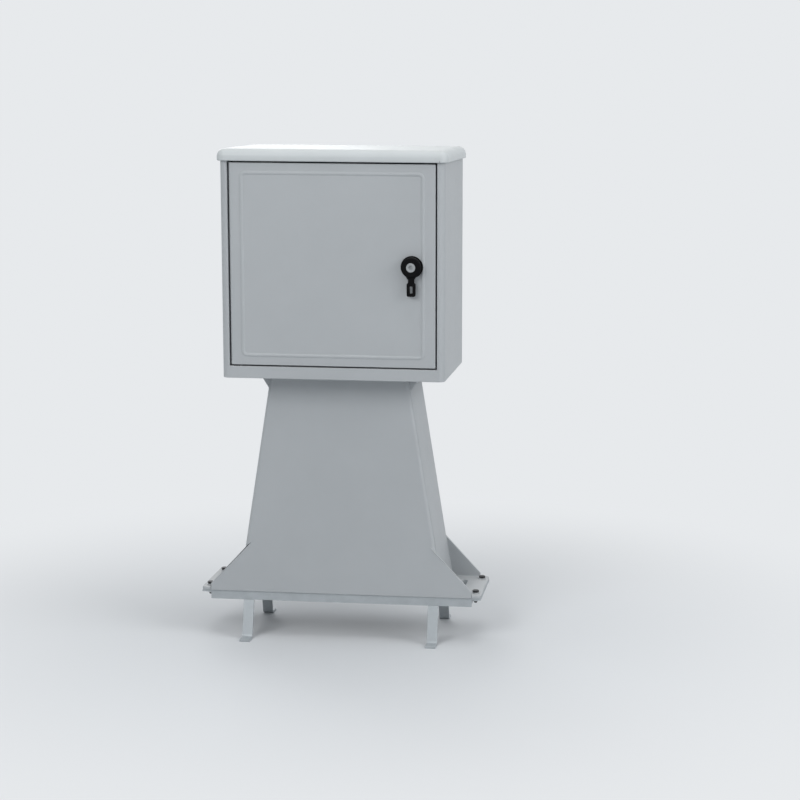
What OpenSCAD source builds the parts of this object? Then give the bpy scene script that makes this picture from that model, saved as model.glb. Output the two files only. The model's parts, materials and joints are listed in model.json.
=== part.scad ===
// Roadside utility cabinet on a moulded pedestal with a cast-in anchor frame.
// The front faces -Y. The origin is at ground level, at the middle of the anchor frame's underside.

/* [Cabinet] */
// Width of the cabinet body
body_w = 500; // [440:1:640]
// Depth of the cabinet body
body_d = 330; // [300:1:450]
// Height of the cabinet body, up to its top flange
body_h = 495; // [420:1:700]
// Wall thickness of the mouldings
wall = 5; // [4:0.5:6]
// Radius of the upright corners of the body
corner_r = 14; // [10:0.5:18]
// Width of the front stiles beside the door
stile_w = 17; // [15:0.5:26]
// Height of the front rail below the door
bottom_rail_h = 27; // [24:0.5:40]
// Depth of the door rebate behind the front face
rebate_d = 30; // [29.5:0.5:34]
// Width of the seal land round the door opening
seal_land_w = 24; // [22:0.5:28]
// Width of the flange round the open top of the body
top_flange_w = 30; // [26:1:40]

/* [Roof] */
// Thickness of the roof's crown
roof_crown = 5; // [4:0.5:7]
// Thickness of the roof's skirt
roof_skirt = 4; // [3:0.5:6]
// Gap between the skirt and the body
roof_clear = 3; // [1:0.5:6]
// How far the skirt hangs below the top of the body
roof_lap = 14; // [12:0.5:16]
// Height of the bosses that the roof stands on
roof_boss_h = 8; // [6:0.5:12]
// Diameter of those bosses
roof_boss_d = 16; // [13:0.5:18]
// Radius of the roof's upper edge
roof_edge_r = 18; // [12:0.5:20]

/* [Door] */
// Gap all round the door
door_gap = 3.5; // [3:0.5:6]
// Depth of the door from face to back; its hinge axis is halfway
door_d = 24; // [22:0.5:24]
// Thickness of the door's skin and rim
door_skin = 4; // [3:0.5:5]
// Distance of the border bead from the door's sides
bead_inset_x = 28; // [24:0.5:45]
// Distance of the border bead from the door's top and bottom
bead_inset_z = 22; // [16:0.5:40]
// Width of the border bead
bead_w = 8; // [6:0.5:14]
// Height of the border bead
bead_h = 1.6; // [1.2:0.1:4]
// Centre line radius of the bead's corners
bead_corner_r = 9; // [8:0.5:20]
// Width of the stiffening ribs inside the door
rib_w = 4; // [3:0.5:6]
// Depth of those ribs
rib_h = 10; // [6:0.5:14]

/* [Hinges and gasket] */
// Diameter of the hinge pins
pin_d = 8; // [6:0.5:10]
// How far a pin reaches into the door
pin_depth = 25; // [15:1:40]
// Diameter of the pin's head
pin_head_d = 14; // [12:0.5:18]
// Thickness of the pin's head
pin_head_h = 3; // [2:0.5:3.5]
// Radial running clearance of the pins
pin_clear = 0.05; // [0.02:0.01:0.1]
// Outer diameter of the hinge washers
hinge_washer_d = 18; // [14:0.5:20]
// Width of the door gasket
gasket_w = 8; // [6:0.5:10]
// Room between the door's swinging corner and the stile
swing_clear = 0.8; // [0.5:0.1:1.5]
// Clearance between parts that bear on each other
seat_gap = 0.3; // [0.1:0.05:0.5]

/* [Lock] */
// Distance of the lock from the free edge of the door
lock_inset = 52; // [48:0.5:60]
// Diameter of the lock rosette on the door
rosette_d = 49; // [45:0.5:56]
// Thickness of the rosette's flange
rosette_h = 4; // [3:0.5:6]
// Diameter of the lock barrel through the door
barrel_d = 26; // [24:0.5:32]
// Diameter of the handle's hub
hub_d = 44; // [40:0.5:44.5]
// Thickness of the handle's hub
hub_h = 14; // [12:0.5:20]
// Rounding of the hub's front edge
hub_edge_r = 3; // [1:0.5:4]
// Thickness of the handle's tail
tail_t = 6; // [5:0.5:8]
// Width of the neck between hub and tail
neck_w = 13; // [10:0.5:16]
// Half angle of the neck's flare at the hub, in degrees
flare_angle = 38; // [30:1:45]
// Distance from the lock's axis to the end of that flare
flare_end = 28; // [26:0.5:30]
// Width of the tail
tail_w = 19.5; // [18:0.5:26]
// Distance from the lock's axis to the upper edge of the tail
tail_top = 34; // [30:0.5:38]
// Distance from the lock's axis to the lower end of the tail
tail_end = 64; // [60:0.5:75]
// Corner radius of the tail
tail_corner_r = 4; // [2:0.5:6]
// Width of the eye in the tail
eye_w = 6; // [5:0.5:8]
// Height of the eye in the tail
eye_h = 15; // [12:0.5:17]
// Diameter of the key plug
plug_d = 20; // [16:0.5:22]
// Depth of the key plug's seat in the hub
plug_seat = 6; // [4:0.5:6]
// How far the plug stands out of the hub
plug_proud = 1; // [0.5:0.1:2]
// Width across the flats of the key socket
socket_af = 9; // [7:0.5:11]
// Depth of the key socket
socket_depth = 4; // [3:0.5:5]
// Diameter of the spindle
spindle_d = 16; // [14:0.5:18]
// Side of the square at the spindle's end
spindle_square = 10; // [8:0.5:11]
// Depth of the spindle's seat in the hub
spindle_seat = 5; // [4:0.5:6]
// Length of the latch cam, from the axis to its tip
cam_len = 60; // [54:0.5:64]
// Width of the latch cam
cam_w = 22; // [20:0.5:28]
// Thickness of the latch cam
cam_t = 4; // [3:0.5:6]
// Gap between the cam and the back of the seal land
cam_gap = 1.5; // [1:0.1:3]
// Width across the flats of the lock nut
lock_nut_af = 36; // [34:1:40]
// Thickness of the lock nut
lock_nut_h = 6; // [5:0.5:8]

/* [Inside] */
// Width of the mounting plate
plate_w = 380; // [300:1:390]
// Height of the mounting plate
plate_h = 380; // [300:1:400]
// Thickness of the mounting plate
plate_t = 3; // [2:0.5:4]
// Distance of the mounting plate from the back wall
standoff = 27; // [20:1:40]
// Diameter of the standoff bosses
standoff_d = 18; // [14:0.5:24]
// Distance of the plate's screws from its edges
plate_screw_inset = 15; // [12:0.5:25]
// Spacing of the equipment holes across
equip_x = 300; // [200:1:320]
// Spacing of the equipment holes up the plate
equip_z = 280; // [200:1:320]
// Diameter of the equipment holes
equip_d = 7; // [5:0.5:9]
// Distance of the cable opening's ends from the column's sides
cable_margin = 27.5; // [26:0.5:40]
// Depth of the cable opening in the floor
cable_d = 132; // [100:1:140]
// Thickness of the gland plate
gland_t = 3; // [2:0.5:4]
// How far the gland plate laps over the opening's edge
gland_lap = 18; // [15:0.5:20]
// Room between the outer grommets and the ends of the cable opening
grommet_room = 25; // [20:0.5:30]
// Diameter of the grommet's groove and of its hole in the plate
grommet_d = 40; // [30:0.5:46]
// Diameter of the hole through a grommet
grommet_bore_d = 20; // [12:0.5:24]
// Width of the grommet's lips
grommet_lip = 5; // [3:0.5:7]
// Thickness of the grommet's lips
grommet_lip_t = 3; // [2:0.5:4]

/* [Pedestal] */
// Height of the pedestal
ped_h = 510; // [400:1:700]
// Depth of the pedestal, from its front wall to its rear wall
ped_d = 184; // [165:1:240]
// Wall thickness of the pedestal
ped_wall = 6; // [5:0.5:8]
// Width of the column at the head
col_top_w = 315; // [300:1:330]
// Width of the column at the foot
col_foot_w = 477; // [420:1:520]
// Radius of the column's upright edges
col_edge_r = 8; // [7:0.5:14]
// Width over the wings at the foot
wing_w = 608; // [580:1:612]
// Height at which the wings run into the column
wing_h = 124; // [105:1:165]
// Height of the wing's upright end
wing_foot_h = 16; // [12:0.5:24]
// Height of the collar at the head
collar_h = 55; // [48:0.5:70]
// How far the collar runs out on each side
collar_out = 18; // [16:0.5:30]
// Thickness of the base and head flanges
flange_t = 8; // [6:0.5:10]
// Width of the base flange
flange_w = 650; // [640:1:700]
// How far the base flange stands back from the front and rear faces
flange_back = 1; // [0.5:0.5:4]
// Width of the spare slots in the base flange
slot_w = 18; // [12:0.5:22]
// Length of those slots, from front to back
slot_l = 100; // [60:1:110]

/* [Anchor frame] */
// Height of the frame's rails
frame_h = 20; // [16:0.5:24]
// Thickness of the frame's angle bars
angle_t = 4; // [3:0.5:5]
// Width of the level flange of the angle bars
angle_w = 26; // [24:0.5:32]
// How far the front and rear rails stop short of the base flange's ends
rail_short = 21; // [18:0.5:23]
// How far the rails stand back from the pedestal's front and rear faces
frame_back = 3; // [1:0.5:8]
// Distance between the legs, across
leg_pitch = 430; // [380:1:470]
// Width of a leg's strip
leg_w = 24; // [20:0.5:36]
// Thickness of a leg's strip
leg_t = 5; // [4:0.5:6]
// How far the legs reach below the ground
leg_drop = 87; // [80:1:160]
// Lean of the legs, outwards from upright, in degrees
leg_lean = 15; // [8:0.5:18]
// How far the feet reach out in front of the rails
foot_out = 50; // [44:1:70]
// Inner radius of the foot's bend
foot_bend_r = 6; // [4:0.5:10]

/* [Fasteners] */
// Diameter of the structural bolts
bolt_d = 8; // [6:0.5:10]
// Width across the flats of their heads and nuts
bolt_af = 13; // [11:0.5:15]
// Height of the bolt heads
bolt_head_h = 5.3; // [4:0.1:7]
// Thickness of the nuts
nut_h = 6.5; // [5:0.1:8]
// How far a bolt stands out of its nut
bolt_proud = 4; // [2:0.5:8]
// Diameter of the washers
washer_d = 18; // [16:0.5:20]
// Thickness of the washers
washer_t = 1.6; // [1:0.1:2.5]
// Diametral clearance of the bolt holes
hole_clear = 1; // [0.5:0.1:1.5]
// Distance of the base bolts from the flange's ends
base_bolt_inset = 14.5; // [13:0.5:16]
// Distance of the base bolts from the wings, in depth
base_bolt_margin = 20; // [16:0.5:30]
// Spacing of the cabinet's bolts from front to back
head_bolt_pitch = 112; // [90:1:130]
// Diameter of the small screws
screw_d = 5; // [4:0.5:6]
// Diameter of the small screws' heads
screw_head_d = 10; // [8:0.5:12]
// Height of the small screws' heads
screw_head_h = 3.2; // [2.5:0.1:4]
// Radial clearance between a screw or bolt and what it holds
thread_clear = 0.1; // [0.05:0.01:0.2]

/* [Hidden] */
$fn = 48;
over = 1;
rib_shares = [0.25, 0.75];

body_z = frame_h + ped_h;
front_y = -body_d / 2;
back_in_y = body_d / 2 - wall;
open_w = body_w - 2 * stile_w;
open_h = body_h - roof_lap - bottom_rail_h;
open_z = body_z + bottom_rail_h;
open_mid_z = open_z + open_h / 2;
land_y = front_y + rebate_d;

roof_out = roof_clear + roof_skirt;
roof_h = roof_crown + roof_boss_h + roof_lap;
roof_z = body_z + body_h - roof_lap;
roof_w = body_w + 2 * roof_out;
roof_d = body_d + 2 * roof_out;
roof_plan_r = corner_r + roof_out;
roof_screw_x = body_w / 2 - top_flange_w / 2 - wall / 2;
roof_screw_y = body_d / 2 - top_flange_w / 2 - wall / 2;
roof_screw_bite = roof_boss_h - screw_d / 2;

door_w = open_w - 2 * door_gap;
door_h = open_h - 2 * door_gap;
door_z = open_z + door_gap;
hinge_r = door_d / 2;
hinge_x = -door_w / 2 + hinge_r;
hinge_y = front_y + hinge_r;
gasket_t = rebate_d - door_d - seat_gap;
hinge_washer_t = door_gap - seat_gap;
hinge_corner_r = hinge_r + door_gap - swing_clear;

lock_x = door_w / 2 - lock_inset;
lock_z = open_mid_z;
bearing_clear = 0.1;
rosette_y = front_y - rosette_h;
hub_back_y = rosette_y - seat_gap;
hub_front_y = hub_back_y - hub_h;
tail_y = hub_front_y + hub_h / 2 - tail_t / 2;
cam_y = land_y + wall + cam_gap;
barrel_end_y = land_y;
plug_back_y = hub_front_y + plug_seat;
eye_mid = (tail_top + tail_end) / 2;

plate_y = back_in_y - standoff;
plate_mid_z = body_z + body_h / 2;
plate_screw_x = plate_w / 2 - plate_screw_inset;
plate_screw_z = plate_h / 2 - plate_screw_inset;
screw_bite = 12;
gland_z = body_z + wall;
cable_w = col_top_w - 2 * cable_margin;
grommet_lip_d = grommet_d + 2 * grommet_lip;
grommet_pitch = (cable_w - grommet_lip_d - 2 * grommet_room) / 2;
gland_w = cable_w + 2 * gland_lap;
gland_d = cable_d + 2 * gland_lap;
gland_screw_x = gland_w / 2 - gland_lap / 2;
gland_screw_y = gland_d / 2 - gland_lap / 2;
gland_bite = wall - over;

col_lean = atan((col_foot_w - col_top_w) / 2 / ped_h);
head_z = body_z - flange_t;
collar_z = ped_h - collar_h;
collar_w = col_w(collar_z) + 2 * collar_out;
head_bolt_x = (collar_w + col_w(ped_h)) / 4;
collar_d = ped_d - 2 * col_edge_r;
base_bolt_x = flange_w / 2 - base_bolt_inset;
base_bolt_y = ped_d / 2 - ped_wall - base_bolt_margin;
flange_d = ped_d - 2 * flange_back;
frame_d = ped_d - 2 * frame_back;
frame_w = flange_w - 2 * rail_short;
frame_side_w = 2 * (base_bolt_x - washer_d / 2);
side_flange_w = (flange_w - frame_side_w) / 2 + angle_t;
base_seat_z = frame_h + flange_t;
slot_x = (col_foot_w + frame_side_w) / 4;

moulding_grey = [0.64, 0.655, 0.67];
roof_grey = [0.76, 0.77, 0.78];
lock_black = [0.06, 0.06, 0.065];
zinc_grey = [0.7, 0.72, 0.73];
rubber_black = [0.1, 0.1, 0.1];
nylon_grey = [0.22, 0.225, 0.23];

// Width of the tapering column at a height above its foot
function col_w(z) = col_foot_w + (col_top_w - col_foot_w) * z / ped_h;

// Shared shapes

module round_rect(w, h, r) {
  square([w - 2 * r, h], center = true);
  square([w, h - 2 * r], center = true);
  for (x = [-1, 1], y = [-1, 1])
    translate([x * (w / 2 - r), y * (h / 2 - r)])
      circle(r);
}

module at_corners(x, y) {
  for (sx = [-1, 1], sy = [-1, 1])
    translate([sx * x, sy * y, 0])
      children();
}

// Turns a shape drawn with X across and Y up so that it stands in the front view and grows towards -Y
module front_view(y) {
  translate([0, y, 0])
    rotate([90, 0, 0])
      children();
}

// A flat block in the front view, from y to y + depth
module front_block(w, h, y, depth, z_mid) {
  translate([-w / 2, y, z_mid - h / 2])
    cube([w, depth, h]);
}

// Half section of a disc whose upper outer edge is rounded
module edge_section(reach, h, r) {
  square([reach - r, h]);
  square([reach, h - r]);
  translate([reach - r, h - r])
    circle(r);
}

// Upright section of a slab whose two upper edges are rounded
module slab_section(w, h, r) {
  translate([-w / 2, -over])
    square([w, h - r + over]);
  translate([-w / 2 + r, -over])
    square([w - 2 * r, h + over]);
  for (x = [-1, 1])
    translate([x * (w / 2 - r), h - r])
      circle(r);
}

// A slab with round upright corners and a rounded upper edge: its plan and its two sections, intersected
module crowned_slab(w, d, h, plan_r, edge_r) {
  intersection() {
    linear_extrude(h)
      round_rect(w, d, plan_r);
    translate([-w, 0, 0])
      rotate([90, 0, 90])
        linear_extrude(2 * w)
          slab_section(d, h, edge_r);
    translate([0, d, 0])
      rotate([90, 0, 0])
        linear_extrude(2 * d)
          slab_section(w, h, edge_r);
  }
}

module ring(outer_d, bore_d, h) {
  difference() {
    cylinder(d = outer_d, h = h);
    translate([0, 0, -over])
      cylinder(d = bore_d, h = h + 2 * over);
  }
}

module hexagon(af, h) {
  cylinder(d = af / cos(30), h = h, $fn = 6);
}

// Head on the level z = 0, shank running down
module hex_bolt(len) {
  hexagon(bolt_af, bolt_head_h);
  translate([0, 0, -len])
    cylinder(d = bolt_d, h = len);
}

module hex_nut() {
  difference() {
    hexagon(bolt_af, nut_h);
    translate([0, 0, -over])
      cylinder(d = bolt_d + 2 * thread_clear, h = nut_h + 2 * over);
  }
}

module flat_washer() {
  ring(washer_d, bolt_d + hole_clear, washer_t);
}

// Pan head on the level z = 0, shank running down
module pan_screw(len) {
  difference() {
    cylinder(d = screw_head_d, h = screw_head_h);
    translate([0, 0, screw_head_h / 2])
      hexagon(screw_d / 2, screw_head_h);
  }
  translate([0, 0, -len])
    cylinder(d = screw_d, h = len);
}

module on_front(x, z, y) {
  translate([x, y, z])
    rotate([90, 0, 0])
      children();
}

// Sub-parts

module cabinet_body() {
  color(moulding_grey)
    difference() {
      union() {
        body_shell();
        door_rebate();
        standoffs();
      }
      body_holes();
    }
}

module body_shell() {
  difference() {
    translate([0, 0, body_z])
      linear_extrude(body_h)
        round_rect(body_w, body_d, corner_r);
    translate([0, 0, body_z + wall])
      linear_extrude(body_h - 2 * wall)
        round_rect(body_w - 2 * wall, body_d - 2 * wall, corner_r - wall);
    translate([0, 0, body_z + body_h - wall - over])
      linear_extrude(wall + 2 * over)
        square([body_w - 2 * top_flange_w - 2 * wall, body_d - 2 * top_flange_w - 2 * wall], center = true);
    front_block(open_w, open_h, front_y - over, wall + 2 * over, open_mid_z);
  }
}

// Return walls round the door opening, and the land that carries the gasket
module door_rebate() {
  inner_w = open_w - 2 * seal_land_w;
  inner_h = open_h - 2 * seal_land_w;
  difference() {
    front_block(open_w + 2 * wall, open_h + 2 * wall, front_y + wall / 2, rebate_d + wall / 2, open_mid_z);
    front_block(open_w, open_h, front_y, rebate_d, open_mid_z);
    front_block(inner_w, inner_h, front_y, rebate_d + wall + over, open_mid_z);
  }
}

module standoffs() {
  for (x = [-1, 1], z = [-1, 1])
    on_front(x * plate_screw_x, plate_mid_z + z * plate_screw_z, back_in_y + wall / 2)
      cylinder(d = standoff_d, h = standoff + wall / 2);
}

module body_holes() {
  translate([-cable_w / 2, -cable_d / 2, body_z - over])
    cube([cable_w, cable_d, wall + 2 * over]);
  translate([0, 0, body_z - over]) {
    at_corners(head_bolt_x, head_bolt_pitch / 2)
      cylinder(d = bolt_d + hole_clear, h = wall + 2 * over);
    at_corners(gland_screw_x, gland_screw_y)
      cylinder(d = screw_d + 2 * thread_clear, h = wall + 2 * over);
  }
  translate([0, 0, body_z + body_h - wall - over])
    at_corners(roof_screw_x, roof_screw_y)
      cylinder(d = screw_d + hole_clear, h = wall + 2 * over);
  for (x = [-1, 1], z = [-1, 1])
    on_front(x * plate_screw_x, plate_mid_z + z * plate_screw_z, plate_y + screw_bite)
      cylinder(d = screw_d + 2 * thread_clear, h = screw_bite + over);
  for (z = [open_z - wall, open_z + open_h])
    translate([hinge_x, hinge_y, z - over])
      cylinder(d = pin_d + 2 * pin_clear, h = wall + 2 * over);
}

module roof_cap() {
  inner_h = roof_h - roof_crown;
  color(roof_grey)
    translate([0, 0, roof_z])
      difference() {
        union() {
          difference() {
            crowned_slab(roof_w, roof_d, roof_h, roof_plan_r, roof_edge_r);
            translate([0, 0, -over])
              crowned_slab(roof_w - 2 * roof_skirt, roof_d - 2 * roof_skirt, inner_h + over,
                roof_plan_r - roof_skirt, roof_edge_r - roof_skirt);
          }
          translate([0, 0, roof_lap])
            at_corners(roof_screw_x, roof_screw_y)
              cylinder(d = roof_boss_d, h = roof_boss_h + roof_crown / 2);
        }
        translate([0, 0, roof_lap - over])
          at_corners(roof_screw_x, roof_screw_y)
            cylinder(d = screw_d + 2 * thread_clear, h = roof_screw_bite + 2 * over);
      }
}

module roof_screws() {
  color(zinc_grey)
    translate([0, 0, body_z + body_h - wall])
      at_corners(roof_screw_x, roof_screw_y)
        rotate([180, 0, 0])
          pan_screw(wall + roof_screw_bite);
}

module door() {
  color(moulding_grey)
    difference() {
      union() {
        door_tray();
        door_bead();
        door_ribs();
      }
      for (z = [door_z - over, door_z + door_h - pin_depth])
        translate([hinge_x, hinge_y, z])
          cylinder(d = pin_d + 2 * pin_clear, h = pin_depth + over);
      on_front(lock_x, lock_z, front_y + door_skin + over)
        cylinder(d = barrel_d + 2 * bearing_clear, h = door_skin + bead_h + 2 * over);
      on_front(lock_x, lock_z, front_y)
        cylinder(d = rosette_d + 2 * seat_gap, h = bead_h + over);
    }
}

// Skin with a rim on three sides and a solid edge on the hinge side
module door_tray() {
  tray_w = door_w - hinge_r;
  inner_w = tray_w - door_skin - hinge_r;
  translate([hinge_x, hinge_y, door_z])
    linear_extrude(door_h)
      hinge_section();
  difference() {
    translate([hinge_x, front_y, door_z])
      cube([tray_w, door_d, door_h]);
    translate([hinge_x + hinge_r, front_y + door_skin, door_z + door_skin])
      cube([inner_w, door_d, door_h - 2 * door_skin]);
  }
}

// Plan of the hinge edge: round behind the axis, and in front a corner cut to the arc that it swings on
module hinge_section() {
  circle(hinge_r);
  intersection() {
    translate([-hinge_r, -hinge_r])
      square(hinge_r);
    circle(hinge_corner_r);
  }
}

// Low rounded bead that runs round the door's face and stops at the lock
module door_bead() {
  bead_r = (bead_w * bead_w / 4 + bead_h * bead_h) / (2 * bead_h);
  w = door_w - 2 * bead_inset_x;
  h = door_h - 2 * bead_inset_z;
  run_x = w - 2 * bead_corner_r;
  run_z = h - 2 * bead_corner_r;
  front_view(front_y)
    translate([0, lock_z, 0])
      for (turn = [0, 180])
        rotate([0, 0, turn]) {
          translate([w / 2, run_z / 2, 0])
            rotate([90, 0, 0])
              linear_extrude(run_z)
                bead_section(bead_r);
          rotate([0, 0, 90])
            translate([h / 2, run_x / 2, 0])
              rotate([90, 0, 0])
                linear_extrude(run_x)
                  bead_section(bead_r);
          for (side = [0, 1])
            translate([side == 0 ? run_x / 2 : -run_x / 2, run_z / 2, 0])
              rotate([0, 0, side * 90])
                rotate_extrude(angle = 90)
                  translate([bead_corner_r, 0])
                    bead_section(bead_r);
        }
}

// Crown of a circle that stands out of the face and is rooted in the skin
module bead_section(bead_r) {
  intersection() {
    translate([0, bead_h - bead_r])
      circle(bead_r);
    translate([-bead_w / 2, -door_skin / 2])
      square([bead_w, door_skin / 2 + bead_h]);
  }
}

module door_ribs() {
  rib_y = front_y + door_skin / 2;
  rib_x0 = hinge_x + hinge_r / 2;
  rib_x1 = lock_x - lock_nut_af;
  for (share = rib_shares)
    translate([rib_x0, rib_y, door_z + door_h * share - rib_w / 2])
      cube([door_w / 2 - door_skin / 2 - rib_x0, rib_h, rib_w]);
  translate([rib_x0, rib_y, lock_z - rib_w / 2])
    cube([rib_x1 - rib_x0, rib_h, rib_w]);
}

// Seal on the land: under the door's rim on three sides, behind its hinge edge on the fourth
module door_gasket() {
  rim_mid = door_gap + door_skin / 2;
  left = hinge_x;
  right = open_w / 2 - rim_mid + gasket_w / 2;
  out_h = open_h - 2 * rim_mid + gasket_w;
  color(rubber_black)
    front_view(land_y)
      linear_extrude(gasket_t)
        translate([(left + right) / 2, open_mid_z])
          difference() {
            round_rect(right - left, out_h, gasket_w);
            square([right - left - 2 * gasket_w, out_h - 2 * gasket_w], center = true);
          }
}

module hinge_pins() {
  pin_len = wall + door_gap + pin_depth - seat_gap;
  color(zinc_grey) {
    translate([hinge_x, hinge_y, open_z - wall])
      hinge_pin(pin_len);
    translate([hinge_x, hinge_y, open_z + open_h + wall])
      mirror([0, 0, 1])
        hinge_pin(pin_len);
  }
}

module hinge_pin(len) {
  cylinder(d = pin_d, h = len);
  translate([0, 0, -pin_head_h])
    cylinder(d = pin_head_d, h = pin_head_h);
}

module hinge_washers() {
  bore_d = pin_d + 4 * thread_clear;
  color(nylon_grey)
    for (z = [open_z, open_z + open_h - hinge_washer_t])
      translate([hinge_x, hinge_y, z])
        ring(hinge_washer_d, bore_d, hinge_washer_t);
}

// Bearing of the lock: a flange on the door's face and a barrel through its skin
module lock_rosette() {
  color(lock_black)
    on_front(lock_x, lock_z, barrel_end_y)
      difference() {
        union() {
          cylinder(d = barrel_d, h = barrel_end_y - front_y);
          translate([0, 0, barrel_end_y - front_y])
            cylinder(d = rosette_d, h = rosette_h);
        }
        translate([0, 0, -over])
          cylinder(d = spindle_d + 2 * bearing_clear, h = barrel_end_y - rosette_y + 2 * over);
      }
}

module lock_nut() {
  color(zinc_grey)
    on_front(lock_x, lock_z, front_y + door_skin + lock_nut_h)
      difference() {
        hexagon(lock_nut_af, lock_nut_h);
        translate([0, 0, -over])
          cylinder(d = barrel_d + 2 * thread_clear, h = lock_nut_h + 2 * over);
      }
}

module lock_handle() {
  color(lock_black)
    on_front(lock_x, lock_z, hub_back_y)
      difference() {
        union() {
          rotate_extrude()
            edge_section(hub_d / 2, hub_h, hub_edge_r);
          translate([0, 0, hub_back_y - tail_y - tail_t])
            linear_extrude(tail_t)
              tail_outline();
        }
        translate([0, 0, hub_h - plug_seat])
          cylinder(d = plug_d + 2 * bearing_clear, h = plug_seat + over);
        translate([0, 0, -over])
          cylinder(d = spindle_d + 2 * thread_clear, h = spindle_seat + over);
        translate([-eye_w / 2, -eye_mid - eye_h / 2, 0])
          cube([eye_w, eye_h, hub_h]);
      }
}

// Flared neck and tail of the handle, hanging down from the axis
module tail_outline() {
  flare_r = hub_d / 2 - over;
  polygon([
    [-flare_r * sin(flare_angle), -flare_r * cos(flare_angle)],
    [flare_r * sin(flare_angle), -flare_r * cos(flare_angle)],
    [neck_w / 2, -flare_end],
    [-neck_w / 2, -flare_end]
  ]);
  translate([-neck_w / 2, -tail_top - tail_corner_r])
    square([neck_w, tail_top]);
  translate([0, -eye_mid])
    round_rect(tail_w, tail_end - tail_top, tail_corner_r);
}

module key_plug() {
  plug_h = plug_seat + plug_proud;
  color(zinc_grey)
    on_front(lock_x, lock_z, plug_back_y)
      difference() {
        cylinder(d = plug_d, h = plug_h);
        translate([0, 0, plug_h - socket_depth])
          hexagon(socket_af, socket_depth + over);
      }
}

module lock_spindle() {
  shank = cam_y - hub_back_y + spindle_seat;
  color(zinc_grey)
    on_front(lock_x, lock_z, cam_y)
      difference() {
        union() {
          cylinder(d = spindle_d, h = shank);
          translate([0, 0, -cam_t])
            linear_extrude(cam_t + over)
              square(spindle_square, center = true);
        }
        translate([0, 0, -cam_t - over])
          cylinder(d = screw_d + 2 * thread_clear, h = screw_bite + 2 * over);
      }
}

// The cam points up at rest, clear of the frame, and reaches behind the land after a quarter turn
module latch_cam() {
  color(zinc_grey)
    on_front(lock_x, lock_z, cam_y + cam_t)
      linear_extrude(cam_t)
        difference() {
          union() {
            circle(d = cam_w);
            translate([-cam_w / 2, 0])
              square([cam_w, cam_len - cam_w / 4]);
            translate([-cam_w / 4, 0])
              square([cam_w / 2, cam_len]);
          }
          square(spindle_square + 2 * thread_clear, center = true);
        }
}

module cam_screw() {
  bite = screw_bite - over;
  color(zinc_grey)
    translate([lock_x, cam_y + cam_t, lock_z])
      rotate([-90, 0, 0]) {
        cylinder(d = cam_w - spindle_square / 2, h = washer_t);
        translate([0, 0, washer_t])
          pan_screw(washer_t + bite);
      }
}

module mounting_plate() {
  color(zinc_grey)
    difference() {
      front_view(plate_y)
        linear_extrude(plate_t)
          translate([0, plate_mid_z])
            round_rect(plate_w, plate_h, plate_screw_inset / 2);
      for (x = [-1, 1], z = [-1, 1]) {
        on_front(x * plate_screw_x, plate_mid_z + z * plate_screw_z, plate_y + over)
          cylinder(d = screw_d + hole_clear, h = plate_t + 2 * over);
        on_front(x * equip_x / 2, plate_mid_z + z * equip_z / 2, plate_y + over)
          cylinder(d = equip_d, h = plate_t + 2 * over);
      }
    }
}

module plate_screws() {
  color(zinc_grey)
    for (x = [-1, 1], z = [-1, 1])
      on_front(x * plate_screw_x, plate_mid_z + z * plate_screw_z, plate_y - plate_t)
        pan_screw(plate_t + screw_bite - over);
}

module gland_plate() {
  color(zinc_grey)
    difference() {
      translate([-gland_w / 2, -gland_d / 2, gland_z])
        cube([gland_w, gland_d, gland_t]);
      translate([0, 0, gland_z - over]) {
        at_corners(gland_screw_x, gland_screw_y)
          cylinder(d = screw_d + hole_clear, h = gland_t + 2 * over);
        for (i = [-1:1])
          translate([i * grommet_pitch, 0, 0])
            cylinder(d = grommet_d + 2 * thread_clear, h = gland_t + 2 * over);
      }
    }
}

module gland_screws() {
  color(zinc_grey)
    translate([0, 0, gland_z + gland_t])
      at_corners(gland_screw_x, gland_screw_y)
        pan_screw(gland_t + gland_bite);
}

module cable_grommets() {
  color(rubber_black)
    for (i = [-1:1])
      translate([i * grommet_pitch, 0, gland_z - grommet_lip_t])
        difference() {
          union() {
            cylinder(d = grommet_lip_d, h = grommet_lip_t);
            cylinder(d = grommet_d, h = gland_t + 2 * grommet_lip_t);
            translate([0, 0, grommet_lip_t + gland_t])
              cylinder(d1 = grommet_lip_d, d2 = grommet_d, h = grommet_lip_t);
          }
          translate([0, 0, -over])
            cylinder(d = grommet_bore_d, h = gland_t + 2 * grommet_lip_t + 2 * over);
        }
}

module pedestal() {
  color(moulding_grey)
    difference() {
      translate([0, 0, frame_h])
        union() {
          column_solid(0, col_edge_r);
          for (y = [-ped_d / 2 + ped_wall, ped_d / 2])
            front_view(y)
              linear_extrude(ped_wall)
                wing_outline();
          for (y = [-collar_d / 2 + ped_wall, collar_d / 2])
            front_view(y)
              linear_extrude(ped_wall)
                collar_outline();
          linear_extrude(flange_t)
            round_rect(flange_w, flange_d, col_edge_r);
          translate([0, 0, ped_h - flange_t])
            linear_extrude(flange_t)
              square([collar_w, collar_d], center = true);
        }
      translate([0, 0, frame_h])
        column_solid(ped_wall, col_edge_r - ped_wall);
      translate([0, 0, frame_h - over])
        at_corners(base_bolt_x, base_bolt_y)
          cylinder(d = bolt_d + hole_clear, h = flange_t + 2 * over);
      for (side = [-1, 1])
        translate([side * slot_x, 0, frame_h - over])
          linear_extrude(flange_t + 2 * over)
            slot_outline();
      translate([0, 0, head_z - over])
        at_corners(head_bolt_x, head_bolt_pitch / 2)
          cylinder(d = bolt_d + hole_clear, h = flange_t + 2 * over);
    }
}

module slot_outline() {
  run = slot_l - slot_w;
  square([slot_w, run], center = true);
  for (end = [-1, 1])
    translate([0, end * run / 2])
      circle(d = slot_w);
}

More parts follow.
